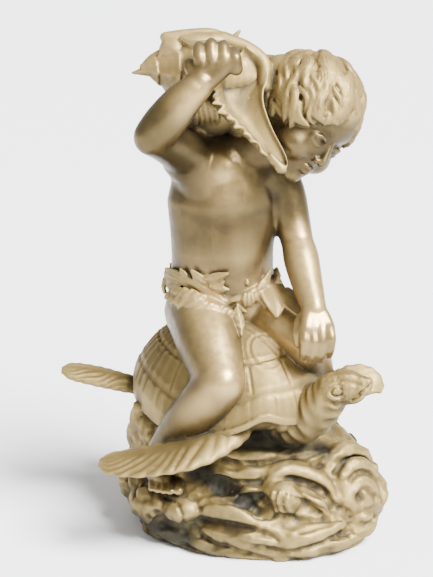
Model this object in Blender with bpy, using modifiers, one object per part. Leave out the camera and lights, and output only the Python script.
"""A garden bronze cast in one piece: a small child astride a sea turtle, a conch held to one ear.

The turtle lies on a rock with waves curling round it. Metres, +Z up, the origin in the middle of the
flat underside, and -Y the side that the child faces.
"""

import math

import bmesh
import bpy
import numpy as np
from mathutils import Euler, Matrix, Vector

# Driving sizes, in metres
STATUE_HEIGHT = 0.800
# Free-form lengths below are counted in units, about 800 of them to the statue's height
FLESH_VOXEL = 4.0
DETAIL_VOXEL = 3.2
FACES_IN_ALL = 9600

BRONZE_COLOUR = (0.42, 0.31, 0.17, 1.0)

# Frames: each is the direction of its local x, y and z in the statue's frame
HEAD_CENTRE = (72, -15, 676)
HEAD_UP = (0.70, 0.00, 0.714)
HEAD_FACING = (0.49, -0.70, -0.48)
TURTLE_CENTRE = (-49, -5, 225)
TURTLE_YAW = -40.0
CARAPACE = (174, 135, 125)


def unit_vector(v):
    return Vector(v).normalized()


def frame_from(centre, facing, up):
    """A matrix whose local x is the right-hand side, y the way it faces and z its own up."""
    z = unit_vector(up)
    y = Vector(facing)
    y = (y - y.dot(z) * z).normalized()
    x = y.cross(z)
    matrix = Matrix((x, y, z)).transposed().to_4x4()
    matrix.translation = Vector(centre)
    return matrix


HEAD = frame_from(HEAD_CENTRE, HEAD_FACING, HEAD_UP)
TURTLE = Matrix.Translation(TURTLE_CENTRE) @ Matrix.Rotation(math.radians(TURTLE_YAW), 4, "Z")
WORLD = Matrix.Identity(4)


def smooth_path(points, values, step=4.0):
    """Catmull-Rom through the points, sampled about every step units, with the values carried along."""
    rows = [list(p) + list(v) for p, v in zip(points, values)]
    rows = np.array(rows, float)
    padded = np.vstack([2 * rows[0] - rows[1], rows, 2 * rows[-1] - rows[-2]])
    samples = []
    for i in range(1, len(padded) - 2):
        a, b, c, d = padded[i - 1 : i + 3]
        count = max(2, int(np.linalg.norm((c - b)[:3]) / step))
        for t in np.linspace(0, 1, count, endpoint=False):
            samples.append(
                0.5 * (2 * b + (c - a) * t + (2 * a - 5 * b + 4 * c - d) * t**2 + (3 * b - a - 3 * c + d) * t**3)
            )
    samples.append(rows[-1])
    samples = np.array(samples)
    return samples[:, :3], samples[:, 3:]


def sphere_template():
    sphere = bmesh.new()
    bmesh.ops.create_uvsphere(sphere, u_segments=24, v_segments=16, radius=1.0)
    mesh = bpy.data.meshes.new("sphere")
    sphere.to_mesh(mesh)
    sphere.free()
    return mesh


SPHERE = sphere_template()


class Clay:
    """Overlapping closed shapes that a voxel remesh fuses into one skin."""

    def __init__(self):
        self.mesh = bmesh.new()
        self.tubes = bpy.data.curves.new("tubes", "CURVE")
        self.tubes.dimensions = "3D"
        self.tubes.bevel_depth = 1.0
        self.tubes.bevel_resolution = 3
        self.tubes.use_fill_caps = True

    def ball(self, centre, radii, turn=(0, 0, 0), frame=WORLD):
        """An ellipsoid, turned by Euler degrees in the frame."""
        spin = Euler([math.radians(a) for a in turn]).to_matrix().to_4x4()
        place = frame @ Matrix.Translation(centre) @ spin @ Matrix.Diagonal((*radii, 1))
        self.add_shape(SPHERE, place)

    def add_shape(self, shape, place):
        """Copy a template mesh into the clay."""
        copy = shape.copy()
        copy.transform(place)
        self.mesh.from_mesh(copy)
        bpy.data.meshes.remove(copy)

    def tube(self, points, radii, frame=WORLD, round_ends=True):
        """A tapering round limb along a smooth curve."""
        path, r = smooth_path(points, [[x] for x in radii])
        r = r[:, 0]
        if round_ends:
            path, r = self._rounded(path, r)
        spline = self.tubes.splines.new("POLY")
        spline.points.add(len(path) - 1)
        for point, place, radius in zip(spline.points, path, r):
            point.co = (*(frame @ Vector(place)), 1)
            point.radius = radius

    @staticmethod
    def _rounded(path, r):
        for _ in range(2):
            outward = (path[0] - path[1]) / np.linalg.norm(path[0] - path[1])
            tip = [path[0] + outward * r[0] * s for s in (0.97, 0.8, 0.45)]
            path = np.vstack([tip, path])[::-1]
            r = np.concatenate([[r[0] * 0.25, r[0] * 0.6, r[0] * 0.89], r])[::-1]
        return path, r

    def blade(self, points, half_widths, half_thickness, up, frame=WORLD, cup=0.0, sides=14):
        """A flat tapering limb: a loft of lens-shaped sections, whose flat faces look along up."""
        path, rows = smooth_path(points, list(zip(half_widths, half_thickness)), step=6.0)
        up = Vector(up)
        rings = []
        for i, (place, (w, t)) in enumerate(zip(path, rows)):
            ahead = Vector(path[min(i + 1, len(path) - 1)] - path[max(i - 1, 0)]).normalized()
            side = ahead.cross(up).normalized()
            top = side.cross(ahead)
            ring = []
            for k in range(sides):
                a = 2 * math.pi * k / sides
                x = math.cos(a)
                at = Vector(place) + side * w * x + top * (t * math.sin(a) + cup * w * (x * x - 0.5))
                ring.append(frame @ at)
            rings.append(ring)
        self.rings(rings)

    def rings(self, rings):
        """A closed loft through rings of equally many points, capped at both ends."""
        rows = [[self.mesh.verts.new(p) for p in ring] for ring in rings]
        sides = len(rows[0])
        for one, two in zip(rows, rows[1:]):
            for k in range(sides):
                m = (k + 1) % sides
                self.mesh.faces.new((one[k], one[m], two[m], two[k]))
        self.mesh.faces.new(rows[0][::-1])
        self.mesh.faces.new(rows[-1])

    def add_mesh(self, mesh):
        self.mesh.from_mesh(mesh)

    def fused(self, voxel, smoothing, factor=0.5):
        """One closed skin of everything so far, as a new mesh in units."""
        holder = bpy.data.objects.new("tubes", self.tubes)
        bpy.context.scene.collection.objects.link(holder)
        graph = bpy.context.evaluated_depsgraph_get()
        if self.tubes.splines:
            round_mesh = bpy.data.meshes.new_from_object(holder.evaluated_get(graph))
            self.mesh.from_mesh(round_mesh)
        bpy.data.objects.remove(holder)
        bmesh.ops.recalc_face_normals(self.mesh, faces=self.mesh.faces)
        mesh = bpy.data.meshes.new("clay")
        self.mesh.to_mesh(mesh)
        self.mesh.free()
        clay = bpy.data.objects.new("clay", mesh)
        bpy.context.scene.collection.objects.link(clay)
        remesh = clay.modifiers.new("fuse", "REMESH")
        remesh.mode = "VOXEL"
        remesh.voxel_size = voxel
        soften = clay.modifiers.new("soften", "SMOOTH")
        soften.factor = factor
        soften.iterations = smoothing
        graph = bpy.context.evaluated_depsgraph_get()
        skin = bpy.data.meshes.new_from_object(clay.evaluated_get(graph))
        bpy.data.objects.remove(clay)
        return skin


# The trunk from hips to neck: height, middle x, middle y, half width, half depth
TRUNK = [
    (322, -52, 40, 78, 62),
    (350, -53, 34, 92, 76),
    (385, -59, 26, 92, 72),
    (415, -60, 18, 83, 66),
    (450, -58, 10, 80, 65),
    (490, -58, 8, 81, 62),
    (530, -59, 8, 85, 61),
    (565, -56, 12, 84, 57),
    (595, -48, 14, 72, 49),
    (617, -36, 16, 50, 40),
    (640, -12, 14, 38, 36),
]


def trunk_point(bearing, z, lift=0.0):
    """A point on the trunk at a height, at a bearing counted from the child's left hip round the back."""
    heights = [row[0] for row in TRUNK]
    x, y, w, d = (float(np.interp(z, heights, [row[i] for row in TRUNK])) for i in (1, 2, 3, 4))
    turn = math.radians(-22 + 14 * min(1, max(0, (z - 380) / 120)))
    a = math.radians(bearing)
    u, v = (w + lift) * math.cos(a), (d + lift) * math.sin(a)
    return (x + u * math.cos(turn) - v * math.sin(turn), y + u * math.sin(turn) + v * math.cos(turn), z)


def add_torso(clay):
    levels = np.linspace(TRUNK[0][0], TRUNK[-1][0], 40)
    clay.rings([[trunk_point(a, z) for a in range(0, 360, 9)] for z in levels])
    clay.ball((-100, 50, 352), (46, 46, 46))
    clay.ball((-34, 76, 352), (46, 46, 46))
    clay.tube([(-108, 8, 592), (-50, 14, 600), (26, 16, 572)], [42, 42, 37])
    clay.tube([(-24, 10, 596), (4, 6, 628), (30, 0, 652)], [42, 40, 40])


def add_right_arm(clay):
    clay.tube([(-92, 4, 592), (-128, -44, 622), (-165, -90, 648)], [38, 35, 29])
    clay.tube([(-165, -90, 648), (-135, -97, 686), (-92, -97, 728)], [29, 31, 22])


def add_left_arm(clay):
    clay.tube([(26, 14, 566), (46, 4, 520), (58, -18, 468)], [36, 30, 26])
    clay.tube([(58, -18, 468), (68, -60, 426), (80, -108, 386)], [26, 27, 20])


def add_right_leg(clay):
    clay.tube([(-92, 6, 352), (-80, -72, 326), (-62, -146, 282)], [62, 51, 38])
    clay.tube([(-62, -146, 282), (-98, -126, 226), (-158, -94, 152)], [38, 38, 21])
    clay.tube([(-172, -70, 124), (-160, -96, 118), (-150, -116, 102)], [25, 23, 17])


def add_left_leg(clay):
    clay.tube([(-10, 32, 348), (32, -36, 336), (70, -94, 310)], [52, 45, 35])
    clay.tube([(70, -90, 308), (86, -16, 246), (98, 46, 190), (98, 78, 152)], [35, 31, 28, 20])
    clay.tube([(98, 92, 132), (116, 74, 128), (138, 52, 116)], [23, 21, 15])


def hand(clay, wrist, knuckles, spread, fingers, radius, palm_thickness):
    """A palm between wrist and knuckles, and fingers given as (curve points) from the knuckle line."""
    wrist, knuckles, spread = Vector(wrist), Vector(knuckles), Vector(spread)
    for k in (-0.75, -0.25, 0.25, 0.75):
        clay.tube([wrist + spread * 0.45 * k, knuckles + spread * k], [palm_thickness, palm_thickness * 0.9])
    for points in fingers:
        radii = [radius * (1 - 0.10 * i) for i in range(len(points))]
        clay.tube(points, radii)


def add_toes(clay):
    for k in range(5):
        size = (10, 8, 7.5, 7, 6.5)[k]
        x = -133 - 10 * k
        clay.tube([(x, -118 + 2 * k, 102 - k), (x + 2, -132 + 2.5 * k, 97 - 1.5 * k)], [size, size * 0.9])
        clay.tube([(126 + 7 * k, 44 + 6 * k, 114), (137 + 6 * k, 33 + 6 * k, 110)], [7, 6])


def add_hands(clay):
    raised = []
    for k, x in enumerate((-92, -78, -64, -51)):
        top = (781, 786, 786, 781)[k]
        raised.append([(x + 1, -96, 762), (x, -92, 774), (x, -78, top), (x, -58, top - 1)])
    raised.append([(-98, -98, 744), (-106, -96, 756), (-108, -88, 766)])
    hand(clay, (-90, -97, 734), (-72, -97, 764), (26, 0, 2), raised, 8.5, 13)
    resting = []
    for k, x in enumerate((66, 81, 96, 110)):
        drop = (0, -5, -4, 4)[k]
        resting.append(
            [(x - 1, -134, 362), (x + 1, -143, 347 + drop), (x, -141, 329 + drop), (x - 1, -130, 316 + drop)]
        )
    resting.append([(62, -114, 374), (54, -127, 358), (55, -132, 338)])
    hand(clay, (81, -110, 384), (88, -131, 362), (27, 4, -2), resting, 8.2, 12)


def add_head(clay):
    clay.ball((0, -4, 6), (66, 82, 74), frame=HEAD)
    clay.ball((0, 40, 22), (56, 44, 46), frame=HEAD)
    clay.ball((0, 40, -30), (54, 40, 44), frame=HEAD)
    for side in (-1, 1):
        clay.ball((side * 30, 46, -48), (30, 28, 28), frame=HEAD)
    clay.ball((0, 50, -70), (30, 30, 24), frame=HEAD)
    clay.ball((0, 64, -82), (18, 15, 14), frame=HEAD)


def add_face(clay):
    clay.tube([(0, 78, -12), (0, 88, -30), (0, 93, -42)], [6, 7, 9], frame=HEAD)
    for side in (-1, 1):
        clay.ball((side * 9, 84, -44), (7, 8, 6), frame=HEAD)
        clay.ball((side * 25, 68, -16), (14, 12, 10), frame=HEAD)
        clay.tube([(side * 10, 80, 2), (side * 24, 80, 6), (side * 40, 70, 0)], [5, 6, 5], frame=HEAD)
        clay.ball((side * 66, -2, -20), (9, 16, 24), (0, 0, side * 15), frame=HEAD)
    clay.tube([(-15, 76, -61), (0, 84, -58), (15, 76, -61)], [3, 5, 3], frame=HEAD)
    clay.tube([(-12, 75, -66), (0, 82, -67), (12, 75, -66)], [3, 5, 3], frame=HEAD)


def girdle_height(bearing):
    """The girdle of weed hangs lower in front of the belly and over the right thigh."""
    return 396 - 24 * math.exp(-(((bearing - 285) / 30) ** 2)) + 3 * math.sin(math.radians(3 * bearing))


def add_girdle(clay):
    bearings = list(range(0, 361, 15)) + [375]
    lower = [trunk_point(b, girdle_height(b), 3 + 2 * math.sin(b)) for b in bearings]
    upper = [trunk_point(b, girdle_height(b) + 14 + 4 * math.sin(b * 0.11), 2) for b in bearings]
    clay.tube(lower, [8] * len(lower), round_ends=False)
    clay.tube(upper, [7] * len(upper), round_ends=False)
    for tip in GIRDLE_LEAVES:
        clay.blade(*tip)
    clay.ball((-16, -54, 384), (14, 10, 15))
    clay.ball((-20, -54, 403), (6, 6, 7))
    clay.ball((-22, -60, 362), (9, 8, 12))


# Leaves on the girdle: points along the leaf, half widths, half thicknesses, the way its flat side looks
GIRDLE_LEAVES = [
    ([(-98, -44, 436), (-76, -52, 430), (-56, -54, 408)], [4, 13, 5], [4, 5, 4], (0.1, -0.9, 0.3)),
    ([(-92, -46, 420), (-82, -50, 405), (-64, -52, 396)], [6, 12, 5], [5, 6, 4], (-0.1, -0.9, 0.3)),
    ([(-134, -24, 396), (-116, -48, 384), (-104, -62, 376)], [6, 15, 4], [5, 6, 4], (-0.5, -0.6, 0.6)),
    ([(-104, -50, 396), (-92, -66, 385), (-82, -76, 376)], [7, 14, 4], [5, 6, 4], (-0.1, -0.5, 0.9)),
    ([(-40, -56, 372), (-38, -80, 358), (-32, -98, 338)], [8, 12, 3], [6, 6, 4], (0.6, -0.5, 0.6)),
    ([(-12, -46, 376), (4, -54, 376), (22, -74, 364)], [10, 18, 3], [6, 6, 4], (-0.3, -0.6, 0.75)),
    ([(14, -26, 400), (30, -40, 388), (44, -52, 376)], [10, 16, 4], [6, 6, 4], (0.2, -0.5, 0.8)),
    ([(6, -32, 396), (11, -27, 412), (10, -22, 426)], [7, 10, 4], [5, 6, 4], (0.8, -0.6, 0.1)),
    ([(-150, 20, 392), (-152, 14, 408), (-146, 8, 424)], [8, 14, 4], [5, 6, 4], (-0.9, -0.3, 0.1)),
    ([(-34, 90, 400), (-32, 104, 386), (-30, 116, 368)], [8, 18, 4], [6, 6, 4], (0.1, 0.9, 0.3)),
    ([(-84, 98, 398), (-92, 106, 382), (-98, 108, 362)], [8, 16, 4], [6, 6, 4], (-0.3, 0.8, 0.3)),
    ([(-126, 74, 398), (-138, 80, 382), (-146, 80, 364)], [8, 14, 4], [6, 6, 4], (-0.7, 0.6, 0.3)),
]


def hair_point(turn, drop, lift):
    """A point on the hair: drop degrees from the crown, turned round the head from its right side."""
    a, b = math.radians(turn), math.radians(drop)
    return (
        (70 + lift) * math.sin(b) * math.cos(a),
        -8 + (88 + lift) * math.sin(b) * math.sin(a),
        8 + (80 + lift) * math.cos(b),
    )


def hairline(turn):
    """How far down the hair reaches, in degrees from the crown: shortest over the forehead."""
    front = max(0.0, math.sin(math.radians(turn)))
    return 118 - 62 * front**0.8


def add_hair(clay):
    clay.ball((0, -10, 12), (69, 86, 77), frame=HEAD)
    locks = 26
    for ring, (start, share, lift) in enumerate(((6, 0.55, 1), (34, 0.8, 0), (60, 1.0, -1))):
        for k in range(locks):
            turn = 360 * (k + 0.5 * ring) / locks
            reach = hairline(turn)
            first, last = min(start, reach - 22), reach * share
            points = []
            for s in np.linspace(0, 1, 5):
                wave = 7 * math.sin(3.6 * s * math.pi + 1.7 * k + ring)
                points.append(hair_point(turn + wave + 10 * s, first + (last - first) * s, lift + 2))
            clay.tube(points, [5, 8, 8, 7, 3], frame=HEAD)


def add_turtle_body(clay):
    a, b, c = CARAPACE
    clay.ball((0, 0, -4), (a - 12, b - 10, 46), frame=TURTLE)
    clay.tube([(104, 10, -30), (148, 2, -16), (186, 0, 16), (206, 0, 40)], [46, 43, 35, 29], frame=TURTLE)
    clay.tube([(-120, 0, -20), (-160, 0, -26)], [36, 18], frame=TURTLE)


def dome_height(x, y, a, b, c):
    """Height of the carapace above its rim at a place in the turtle's own frame."""
    rho = math.hypot(x / a, y / b)
    return c * max(0.0, 1 - rho**2.3) ** 0.62


def rim_droop(x, y, a, b):
    """The rim hangs lower along the flanks than at neck and tail."""
    return 34 * max(0.0, 1 - (x / a) ** 2) * (y / b) ** 2


def add_carapace(clay):
    """The dome, as a disc of rings with a thin flared edge."""
    a, b, c = CARAPACE
    around, rings = 64, 18
    grid = []
    for i in range(rings + 1):
        rho = (i / rings) ** 0.8
        row = []
        for k in range(around):
            t = 2 * math.pi * k / around
            squeeze = 1 - 0.10 * math.cos(t) * (1 - abs(math.sin(t)))
            x, y = a * rho * math.cos(t), b * rho * math.sin(t) * (1 + 0.06 * math.cos(t))
            z = dome_height(x, y, a, b, c) - rim_droop(x, y, a, b)
            row.append(clay.mesh.verts.new(TURTLE @ Vector((x * 1.0, y * squeeze / squeeze, z))))
        grid.append(row)
    under = []
    for i in (rings, rings - 4, 0):
        row = []
        rho = (i / rings) ** 0.8
        for k in range(around):
            t = 2 * math.pi * k / around
            x, y = a * rho * math.cos(t), b * rho * math.sin(t) * (1 + 0.06 * math.cos(t))
            row.append(clay.mesh.verts.new(TURTLE @ Vector((x, y, -12 - rim_droop(x, y, a, b)))))
        under.append(row)
    rows = grid + under
    for one, two in zip(rows, rows[1:]):
        for k in range(around):
            m = (k + 1) % around
            clay.mesh.faces.new((one[k], one[m], two[m], two[k]))
    clay.mesh.faces.new(rows[0][::-1])
    clay.mesh.faces.new(rows[-1])


def add_turtle_head(clay):
    clay.ball((126, -136, 268), (37, 29, 27), (0, -18, -24))
    clay.ball((149, -146, 272), (21, 20, 17), (0, -14, -24))
    clay.ball((166, -152, 280), (9, 11, 12), (0, 20, -24))
    for side in (-1, 1):
        clay.ball((113 + 12 * side, -140 + 24 * side, 277), (11, 7, 9), (0, -18, -24))
    clay.tube([(128, -167, 255), (143, -169, 259), (160, -164, 272)], [4, 5, 4])
    for k in range(4):
        place = Vector((150, 2, -14)).lerp(Vector((196, 0, 26)), k / 3)
        reach = 42 - 4 * k
        fold = []
        for turn in range(-150, 31, 20):
            a = math.radians(turn)
            ring = Vector((-0.62 * math.cos(a), math.sin(a) * 0.98, 0.78 * math.cos(a) * 0.8))
            fold.append(place + ring * (reach + 1.5 * math.sin(3 * a + k)))
        clay.tube(fold, [2, *[4] * (len(fold) - 2), 2], frame=TURTLE)


def add_flippers(clay):
    clay.blade(
        [(-10, -120, 196), (-50, -150, 190), (-110, -164, 172), (-180, -160, 158), (-232, -152, 152), (-250, -150, 152)],
        [26, 30, 36, 36, 26, 8], [15, 12, 8, 6, 5, 3], (0.05, -0.35, 0.94))
    clay.blade(
        [(60, -30, 195), (110, -28, 222), (150, -34, 246), (178, -36, 244), (196, -36, 232)],
        [22, 26, 28, 24, 8], [13, 9, 6, 5, 3], (0.35, -0.75, 0.55))
    clay.blade(
        [(-150, 60, 205), (-205, 58, 212), (-262, 60, 226), (-308, 62, 235), (-326, 62, 237)],
        [22, 20, 26, 22, 6], [12, 9, 6, 5, 3], (0.1, -0.55, 0.8))
    clay.blade(
        [(-60, 120, 205), (-90, 160, 196), (-130, 185, 190), (-160, 190, 188)],
        [22, 26, 24, 8], [12, 8, 5, 3], (0, 0.35, 0.94))


def add_conch(clay):
    clay.ball((-104, -12, 742), (60, 50, 50), (0, 25, 0))
    clay.ball((-136, -4, 752), (38, 40, 38))
    clay.ball((-136, 2, 775), (24, 24, 20))
    clay.ball((-78, 6, 778), (30, 28, 20))
    clay.ball((-48, 4, 756), (26, 26, 26))
    clay.ball((-70, 0, 694), (56, 50, 60), (0, 40, 0))
    clay.ball((-28, 2, 690), (40, 40, 60))
    clay.tube([(-150, -12, 742), (-172, -14, 742), (-186, -16, 741)], [20, 11, 3])
    clay.tube([(-150, -2, 758), (-170, 0, 756), (-182, -2, 751)], [14, 8, 2])
    clay.tube([(-60, 10, 770), (-42, 12, 784), (-33, 14, 794)], [12, 6, 2])
    clay.blade(
        [(-72, -44, 742), (-36, -60, 722), (-8, -74, 690), (14, -96, 640), (30, -110, 606)],
        [34, 46, 40, 24, 10], [13, 10, 9, 8, 7], (-0.55, -0.75, 0.1), cup=0.22)
    clay.tube([(-60, 0, 780), (-20, -20, 762), (8, -44, 736), (12, -70, 690)], [18, 14, 10, 8])
    clay.tube([(4, -66, 732), (14, -78, 690), (26, -98, 646), (38, -110, 612)], [7, 7, 7, 6])
    for k in range(9):
        s = k / 8
        at = Vector((-68 + 76 * s, -72 - 34 * s, 712 - 96 * s))
        clay.ball(at, (9, 6, 6), (0, 40, 0))
    for turn in (0, 1, 2):
        x = -142 + 26 * turn
        clay.tube([(x, -50, 706 + 4 * turn), (x - 6, -56, 738), (x - 2, -38, 774), (x + 4, 0, 792)], [3, 6, 6, 4])


# The rock: height, and how far it reaches to the left, right, front and back
ROCK = [
    (-8, 190, 188, 176, 180),
    (0, 200, 195, 184, 188),
    (40, 212, 204, 184, 194),
    (80, 220, 190, 164, 186),
    (110, 206, 166, 140, 170),
    (140, 210, 134, 114, 150),
    (175, 214, 100, 88, 130),
    (205, 200, 70, 64, 108),
    (228, 140, 40, 36, 70),
]


def rock_point(angle, z, lift=0.0):
    """A point on the rock at a bearing in degrees, counted from +X, and a height."""
    heights = [row[0] for row in ROCK]
    left, right, front, back = (np.interp(z, heights, [row[i] for row in ROCK]) for i in (1, 2, 3, 4))
    a = math.radians(angle)
    c, s = math.cos(a), math.sin(a)
    wobble = 1 + 0.025 * math.sin(5 * a + z / 23) + 0.02 * math.sin(9 * a - z / 17 + 1)
    x = c * ((right if c > 0 else left) * wobble + lift)
    y = s * ((back if s > 0 else front) * wobble + lift)
    return (x, y, z)


def add_rock(clay):
    levels = np.linspace(ROCK[0][0], ROCK[-1][0], 40)
    clay.rings([[rock_point(a, z) for a in range(0, 360, 5)] for z in levels])


# Ridges of water on the rock, each a run of points with its thickness
RIDGES = [
    (9, [(-92, -140, 84), (-44, -160, 84), (-8, -172, 74), (-30, -176, 60), (-74, -164, 58)]),
    (8, [(-84, -158, 50), (-44, -174, 32), (-18, -176, 14)]),
    (9, [(0, -180, 36), (40, -180, 32), (76, -172, 44), (114, -154, 48), (140, -138, 60)]),
    (8, [(56, -182, 22), (106, -164, 30), (150, -130, 36), (178, -88, 50)]),
    (8, [(-66, -122, 128), (-26, -126, 122), (0, -124, 124), (38, -108, 138), (66, -104, 136), (92, -84, 140)]),
    (10, [(44, -150, 124), (78, -128, 124), (104, -116, 104), (124, -128, 80), (118, -140, 60)]),
    (8, [(46, -160, 112), (74, -146, 98), (98, -140, 80), (116, -140, 62)]),
    (8, [(-70, -150, 96), (-40, -150, 98), (-8, -164, 86), (30, -178, 70), (80, -166, 62)]),
    (9, [(112, -100, 112), (126, -76, 132), (150, -62, 132), (176, -66, 110), (180, -92, 86), (162, -116, 76)]),
    (7, [(126, -98, 112), (140, -80, 122), (158, -82, 112), (162, -98, 96), (148, -112, 92)]),
    (8, [(150, -128, 92), (170, -110, 84), (186, -78, 70), (194, -40, 60)]),
    (9, [(-200, -60, 40), (-196, -70, 70), (-204, -50, 100)]),
    (9, [(-186, -90, 34), (-168, -112, 62), (-176, -104, 96)]),
]


def add_waves(clay):
    for thickness, points in RIDGES:
        clay.tube(points, [thickness * 0.5] + [thickness] * (len(points) - 2) + [thickness * 0.4])
    clay.ball((34, -150, 92), (34, 28, 30))
    clay.ball((-164, -84, 62), (44, 46, 34))
    clay.ball((130, -56, 70), (62, 74, 54))
    for k in range(14):
        bearing, z = 20 + 11 * k, 40 + 26 * (k % 4)
        run = [rock_point(bearing + 7 * i, z + 14 * math.sin(i + k), 1) for i in range(6)]
        clay.tube(run, [4, 8, 10, 9, 7, 3])


# Edges of the plates on the carapace: share of the way out to the rim, bearings in degrees
PLATE_RINGS = (0.72, 0.885)
PLATE_GROOVE = 3.0


def plate_groove(rho, bearing, y):
    """Depth of the carving between the plates, as a share, for arrays of places on the carapace."""
    near_ring = np.min([np.abs(rho - r) for r in PLATE_RINGS], axis=0) * 150
    coarse = np.abs((np.abs(bearing) - 16 + 13.5) % 27 - 13.5)
    inner = np.abs((np.abs(bearing) + 26) % 52 - 26)
    fine = np.abs((np.abs(bearing) + 7.5) % 15 - 7.5)
    per_degree = rho * 150 * math.pi / 180
    spoke = np.where(rho < PLATE_RINGS[0], inner, np.where(rho < PLATE_RINGS[1], coarse, fine)) * per_degree
    spine = np.where(rho < PLATE_RINGS[0], np.abs(np.abs(y) - 26), 99)
    spoke = np.where((rho < PLATE_RINGS[0]) & (np.abs(y) < 26), 99, spoke)
    return np.exp(-((np.minimum(np.minimum(near_ring, spoke), spine) / 3.5) ** 2))


def carve_plates(mesh):
    """Groove the carapace wherever the skin lies on its dome."""
    a, b, c = CARAPACE
    count = len(mesh.vertices)
    at = np.empty(count * 3)
    mesh.vertices.foreach_get("co", at)
    normals = np.empty(count * 3)
    mesh.vertices.foreach_get("normal", normals)
    at, normals = at.reshape(-1, 3), normals.reshape(-1, 3)
    into_turtle = np.array(TURTLE.inverted())
    local = at @ into_turtle[:3, :3].T + into_turtle[:3, 3]
    x, y, z = local.T
    rho = np.hypot(x / a, y / b)
    bearing = np.degrees(np.arctan2(y / b, x / a))
    dome = c * np.maximum(0, 1 - rho**2.3) ** 0.62 - 34 * np.maximum(0, 1 - (x / a) ** 2) * (y / b) ** 2
    on_dome = (np.abs(z - dome) < 7 + 16 * rho**6) & (rho < 1.02) & (normals[:, 2] > 0.1)
    depth = np.where(on_dome, PLATE_GROOVE * plate_groove(rho, bearing, y), 0)
    mesh.vertices.foreach_set("co", (at - normals * depth[:, None]).ravel())
    mesh.update()


def cut_flat(statue):
    """Saw off everything below the table."""
    saw = bmesh.new()
    bmesh.ops.create_cube(saw, size=1.0, matrix=Matrix.Translation((0, 0, -0.5 * STATUE_HEIGHT)))
    bmesh.ops.scale(saw, vec=(2 * STATUE_HEIGHT, 2 * STATUE_HEIGHT, STATUE_HEIGHT), verts=saw.verts,
                    space=Matrix.Translation((0, 0, 0.5 * STATUE_HEIGHT)))
    mesh = bpy.data.meshes.new("saw")
    saw.to_mesh(mesh)
    saw.free()
    cutter = bpy.data.objects.new("saw", mesh)
    tools = bpy.data.collections.new("cutting tools")
    bpy.context.scene.collection.children.link(tools)
    tools.objects.link(cutter)
    cutter.hide_render = True
    cutter.display_type = "WIRE"
    cut = statue.modifiers.new("flat underside", "BOOLEAN")
    cut.operation = "DIFFERENCE"
    cut.solver = "EXACT"
    cut.object = cutter


def bronze():
    material = bpy.data.materials.new("bronze")
    material.use_nodes = True
    shader = material.node_tree.nodes["Principled BSDF"]
    shader.inputs["Base Color"].default_value = BRONZE_COLOUR
    shader.inputs["Metallic"].default_value = 1.0
    shader.inputs["Roughness"].default_value = 0.45
    return material


def build():
    for item in list(bpy.data.objects):
        bpy.data.objects.remove(item)
    flesh = Clay()
    for add in (add_torso, add_right_arm, add_left_arm, add_right_leg, add_left_leg, add_head):
        add(flesh)
    skin = flesh.fused(FLESH_VOXEL, 14)
    whole = Clay()
    whole.add_mesh(skin)
    for add in (add_hands, add_toes, add_face, add_hair, add_girdle, add_turtle_body, add_carapace, add_turtle_head,
                add_flippers, add_conch, add_rock, add_waves):
        add(whole)
    mesh = whole.fused(DETAIL_VOXEL, 3)
    carve_plates(mesh)
    top = max(v.co.z for v in mesh.vertices)
    mesh.transform(Matrix.Scale(STATUE_HEIGHT / top, 4))
    mesh.materials.append(bronze())
    statue = bpy.data.objects.new("bronze_statue", mesh)
    statue_parts = bpy.data.collections.new("bronze_statue")
    bpy.context.scene.collection.children.link(statue_parts)
    statue_parts.objects.link(statue)
    thin = statue.modifiers.new("thin out", "DECIMATE")
    thin.ratio = FACES_IN_ALL / (2 * len(mesh.polygons))
    cut_flat(statue)
    return statue


build()
